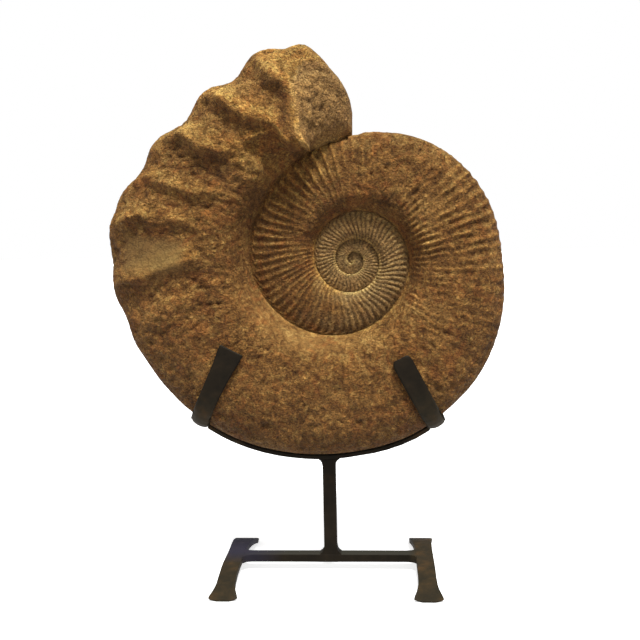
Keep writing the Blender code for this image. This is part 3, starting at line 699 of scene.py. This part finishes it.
# Limestone stained by iron: ochre and brown mottling from millimetres to centimetres over a rough
# granular break, rusty in patches, with painted shade in furrows and pits and a painted highlight on
# crests, paler and golden where it faces up from dust and painted light from above, and olive grey
# on the inner whorls. Nothing on it shines.
# Across one patch of each pattern, the coarse ones first.
BLOTCH, RUST_PATCH, CRACK_CELL = 34.0, 20.0, 9.0
MOTTLE, FLAKE, PIT, GRAIN = 6.5, 4.6, 3.4, 2.0
stone, stone_shader = new_material("iron_stained_limestone")
tree = stone.node_tree
place = add_node(tree, "ShaderNodeTexCoord").outputs["Object"]
blotch = add_node(
    tree, "ShaderNodeTexNoise",
    {"Vector": place, "Scale": 1 / (BLOTCH * MM), "Detail": 5.0, "Roughness": 0.62, "Distortion": 0.6},
).outputs["Fac"]
mottle = add_node(
    tree, "ShaderNodeTexNoise",
    {"Vector": place, "Scale": 1 / (MOTTLE * MM), "Detail": 5.0, "Roughness": 0.62, "Distortion": 1.1},
).outputs["Fac"]
grain = add_node(
    tree, "ShaderNodeTexNoise",
    {"Vector": place, "Scale": 1 / (GRAIN * MM), "Detail": 3.0, "Roughness": 0.6, "Distortion": 0.7},
).outputs["Fac"]
drawn_out = add_node(
    tree, "ShaderNodeVectorMath", {0: place, 1: (0.7, 0.8, 1.2)}, operation="MULTIPLY",
).outputs["Vector"]
flake = add_node(
    tree, "ShaderNodeTexNoise",
    {"Vector": drawn_out, "Scale": 1 / (FLAKE * MM), "Detail": 2.0, "Roughness": 0.6, "Distortion": 2.4},
).outputs["Fac"]
flaking = add_node(
    tree, "ShaderNodeValToRGB", {"Fac": flake},
    stops=(
        (0.36, (0, 0, 0, 1)), (0.47, (0.2, 0.2, 0.2, 1)), (0.52, (0.8, 0.8, 0.8, 1)), (0.64, (1, 1, 1, 1)),
    ),
).outputs["Color"]
flake_rims = add_node(
    tree, "ShaderNodeValToRGB", {"Fac": flake},
    stops=(
        (0.39, (1, 1, 1, 1)), (0.45, (0.62, 0.55, 0.46, 1)), (0.49, (0.72, 0.66, 0.6, 1)),
        (0.53, (1.5, 1.48, 1.42, 1)), (0.58, (1.2, 1.19, 1.16, 1)), (0.66, (0.95, 0.95, 0.95, 1)),
    ),
).outputs["Color"]
bent = add_node(
    tree, "ShaderNodeTexNoise", {"Vector": place, "Scale": 1 / (4 * PIT * MM), "Detail": 2.0},
).outputs["Color"]
bent_place = add_node(
    tree, "ShaderNodeMix", {"Factor": 0.012, "A": place, "B": bent}, data_type="VECTOR",
).outputs["Result"]
pitting = add_node(
    tree, "ShaderNodeTexVoronoi", {"Vector": bent_place, "Scale": 1 / (PIT * MM), "Smoothness": 0.4},
    feature="SMOOTH_F1",
).outputs["Distance"]
crack_edge = add_node(
    tree, "ShaderNodeTexVoronoi", {"Vector": bent_place, "Scale": 1 / (CRACK_CELL * MM)},
    feature="DISTANCE_TO_EDGE",
).outputs["Distance"]
cracking = add_node(
    tree, "ShaderNodeMapRange", {"Value": crack_edge, "From Max": 0.09, "To Min": 0.45, "To Max": 1.0},
).outputs["Result"]
ochre = add_node(
    tree, "ShaderNodeValToRGB", {"Fac": blotch},
    stops=((0.34, linear("#5e3e1a")), (0.5, linear("#80582a")), (0.66, linear("#a17a43"))),
).outputs["Color"]
marks = add_node(
    tree, "ShaderNodeValToRGB", {"Fac": mottle},
    stops=((0.33, linear("#533617")), (0.5, linear("#80582a")), (0.66, linear("#aa8649"))),
).outputs["Color"]
colour = add_node(
    tree, "ShaderNodeMix", {"Factor": 0.5, "A": ochre, "B": marks}, data_type="RGBA",
).outputs["Result"]
rust_place = add_node(
    tree, "ShaderNodeTexNoise",
    {"Vector": place, "Scale": 1 / (RUST_PATCH * MM), "Detail": 4.0, "Distortion": 1.5},
).outputs["Fac"]
rust_share = add_node(
    tree, "ShaderNodeMapRange", {"Value": rust_place, "From Min": 0.5, "From Max": 0.66, "To Max": 0.34},
).outputs["Result"]
colour = add_node(
    tree, "ShaderNodeMix", {"Factor": rust_share, "A": colour, "B": linear("#8a4c20")}, data_type="RGBA",
).outputs["Result"]
inner = add_node(tree, "ShaderNodeAttribute", attribute_name="inner_whorls").outputs["Fac"]
olive = add_node(
    tree, "ShaderNodeMix", {"Factor": 0.55, "A": colour, "B": linear("#8d754d")}, data_type="RGBA",
).outputs["Result"]
colour = add_node(
    tree, "ShaderNodeMix", {"Factor": inner, "A": colour, "B": olive}, data_type="RGBA",
).outputs["Result"]
for name, hex_colour, most in (("mouth", "#b8915a", 0.55), ("bare_patch", "#6b522c", 0.8)):
    share = add_node(tree, "ShaderNodeAttribute", attribute_name=name).outputs["Fac"]
    paler = add_node(
        tree, "ShaderNodeMix", {"Factor": most, "A": colour, "B": linear(hex_colour)}, data_type="RGBA",
    ).outputs["Result"]
    colour = add_node(
        tree, "ShaderNodeMix", {"Factor": share, "A": colour, "B": paler}, data_type="RGBA",
    ).outputs["Result"]
grains = add_node(
    tree, "ShaderNodeValToRGB", {"Fac": grain},
    stops=((0.33, (0.6, 0.54, 0.48, 1)), (0.5, (0.98, 0.98, 0.97, 1)), (0.66, (1.35, 1.34, 1.3, 1))),
).outputs["Color"]
skin = add_node(tree, "ShaderNodeAttribute", attribute_name="smooth_skin").outputs["Fac"]
roughened = add_node(
    tree, "ShaderNodeMapRange", {"Value": skin, "To Min": 0.85, "To Max": 0.4},
).outputs["Result"]
colour = add_node(
    tree, "ShaderNodeMix", {"Factor": roughened, "A": colour, "B": grains}, data_type="RGBA",
    blend_type="MULTIPLY",
).outputs["Result"]
colour = add_node(
    tree, "ShaderNodeMix", {"Factor": roughened, "A": colour, "B": flake_rims}, data_type="RGBA",
    blend_type="MULTIPLY",
).outputs["Result"]
# Painted shade in furrows and pits, and painted highlight on crests.
relief_shading_value = add_node(tree, "ShaderNodeAttribute", attribute_name="relief").outputs["Fac"]
painted_relief_shading = add_node(
    tree, "ShaderNodeValToRGB", {"Fac": relief_shading_value},
    stops=((0.0, (0.42, 0.38, 0.34, 1)), (0.5, (1, 1, 1, 1)), (1.0, (1.5, 1.46, 1.36, 1))),
).outputs["Color"]
colour = add_node(
    tree, "ShaderNodeMix", {"Factor": 1.0, "A": colour, "B": painted_relief_shading}, data_type="RGBA",
    blend_type="MULTIPLY",
).outputs["Result"]
colour = add_node(
    tree, "ShaderNodeMix", {"Factor": 0.55, "A": colour, "B": cracking}, data_type="RGBA",
    blend_type="MULTIPLY",
).outputs["Result"]
# Multiplies the colour by the bleach value: the stone's tone, and painted light and shade.
wear_and_painted_light = add_node(
    tree, "ShaderNodeValToRGB",
    {"Fac": add_node(tree, "ShaderNodeAttribute", attribute_name="bleach_and_painted_light").outputs["Fac"]},
    stops=((0.0, (0.66, 0.62, 0.6, 1)), (0.5, (1, 1, 1, 1)), (1.0, (1.5, 1.62, 1.58, 1))),
).outputs["Color"]
colour = add_node(
    tree, "ShaderNodeMix", {"Factor": 1.0, "A": colour, "B": wear_and_painted_light}, data_type="RGBA", blend_type="MULTIPLY",
).outputs["Result"]
facing = add_node(tree, "ShaderNodeNewGeometry").outputs["Normal"]
facing_up = add_node(tree, "ShaderNodeSeparateXYZ", {"Vector": facing}).outputs["Z"]
# Faces that look up are paler: dust, and painted light from the lamp above.
dust_and_painted_light = add_node(
    tree, "ShaderNodeMapRange", {"Value": facing_up, "From Min": 0.15, "From Max": 0.95, "To Max": 0.75},
).outputs["Result"]
paler_for_dust_and_light = add_node(
    tree, "ShaderNodeMix", {"Factor": 1.0, "A": colour, "B": (1.5, 1.77, 1.98, 1)}, data_type="RGBA",
    blend_type="MULTIPLY",
).outputs["Result"]
colour = add_node(
    tree, "ShaderNodeMix", {"Factor": dust_and_painted_light, "A": colour, "B": paler_for_dust_and_light}, data_type="RGBA",
).outputs["Result"]
tree.links.new(colour, stone_shader.inputs["Base Color"])
stone_shader.inputs["Roughness"].default_value = 0.92
stone_shader.inputs["Specular IOR Level"].default_value = 0.25
normal = None
for height, depth in ((mottle, 2.4), (flaking, 2.6), (cracking, 0.4), (pitting, 1.5), (grain, 0.9)):
    inputs = {"Height": height, "Strength": roughened, "Distance": depth * MM}
    if normal:
        inputs["Normal"] = normal
    normal = add_node(tree, "ShaderNodeBump", inputs).outputs["Normal"]
tree.links.new(normal, stone_shader.inputs["Normal"])

stone_mesh.materials.append(stone)
stone_mesh.shade_smooth()
ammonite = bpy.data.objects.new("ammonite_stone", stone_mesh)
bpy.context.scene.collection.objects.link(ammonite)
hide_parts("ammonite")
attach(ammonite, "root")

# The studio. A plain pale floor, a white surround, one large soft lamp high in front of the stone
# and a weak one low down that fills its shade.
FLOOR_HALF_WIDTH = 20000.0
floor_material, floor_shader = new_material("pale_floor")
floor_shader.inputs["Base Color"].default_value = linear("#f4f4f2")
floor_shader.inputs["Roughness"].default_value = 0.9
floor_shader.inputs["Emission Color"].default_value = (1, 1, 1, 1)
floor_shader.inputs["Emission Strength"].default_value = 0.68
bm = bmesh.new()
bmesh.ops.create_grid(bm, x_segments=1, y_segments=1, size=FLOOR_HALF_WIDTH * MM)
floor_mesh = bpy.data.meshes.new("floor")
bm.to_mesh(floor_mesh)
bm.free()
floor_mesh.materials.append(floor_material)
floor = bpy.data.objects.new("floor", floor_mesh)
bpy.context.scene.collection.objects.link(floor)
floor.visible_diffuse = False

world = bpy.data.worlds.new("studio")
bpy.context.scene.world = world
world.use_nodes = True
tree = world.node_tree
seen = add_node(tree, "ShaderNodeBackground", {"Color": (1, 1, 1, 1), "Strength": 1.0})
lighting = add_node(tree, "ShaderNodeBackground", {"Color": (1, 1, 1, 1), "Strength": 0.44})
by_ray = add_node(tree, "ShaderNodeLightPath").outputs["Is Camera Ray"]
both = add_node(tree, "ShaderNodeMixShader", {"Fac": by_ray})
tree.links.new(lighting.outputs["Background"], both.inputs[1])
tree.links.new(seen.outputs["Background"], both.inputs[2])
tree.links.new(both.outputs["Shader"], tree.nodes["World Output"].inputs["Surface"])

# Each lamp's place in metres, its strength and how wide it looks.
for name, spot, strength, spread in (
    ("key_light", (0.20, -0.68, 1.28), 4.3, 18.0),
    ("fill_light", (0.2, -1.4, 0.20), 0.55, 60.0),
):
    lamp = bpy.data.lights.new(name, "SUN")
    lamp.energy, lamp.angle = strength, math.radians(spread)
    holder = bpy.data.objects.new(name, lamp)
    holder.location = spot
    holder.rotation_euler = (-Vector(spot)).to_track_quat("-Z", "Y").to_euler()
    bpy.context.scene.collection.objects.link(holder)

# The camera stands where the photograph was taken: level with the coil, a little to its right.
CAMERA_SPOT = Vector((68.525, -861.8, 326.8)) * MM
YAW, PITCH, ROLL = 0.065, 0.089, -0.021     # radians
camera_data = bpy.data.cameras.new("camera")
camera_data.lens, camera_data.sensor_width = 50.0, 36.0
camera = bpy.data.objects.new("camera", camera_data)
turned = Matrix.Rotation(YAW, 4, "Z") @ Matrix.Rotation(math.pi / 2 - PITCH, 4, "X")
turned = turned @ Matrix.Rotation(ROLL, 4, "Z")
camera.matrix_world = Matrix.Translation(CAMERA_SPOT) @ turned
bpy.context.scene.collection.objects.link(camera)
bpy.context.scene.camera = camera
bpy.context.scene.view_settings.view_transform = "Standard"
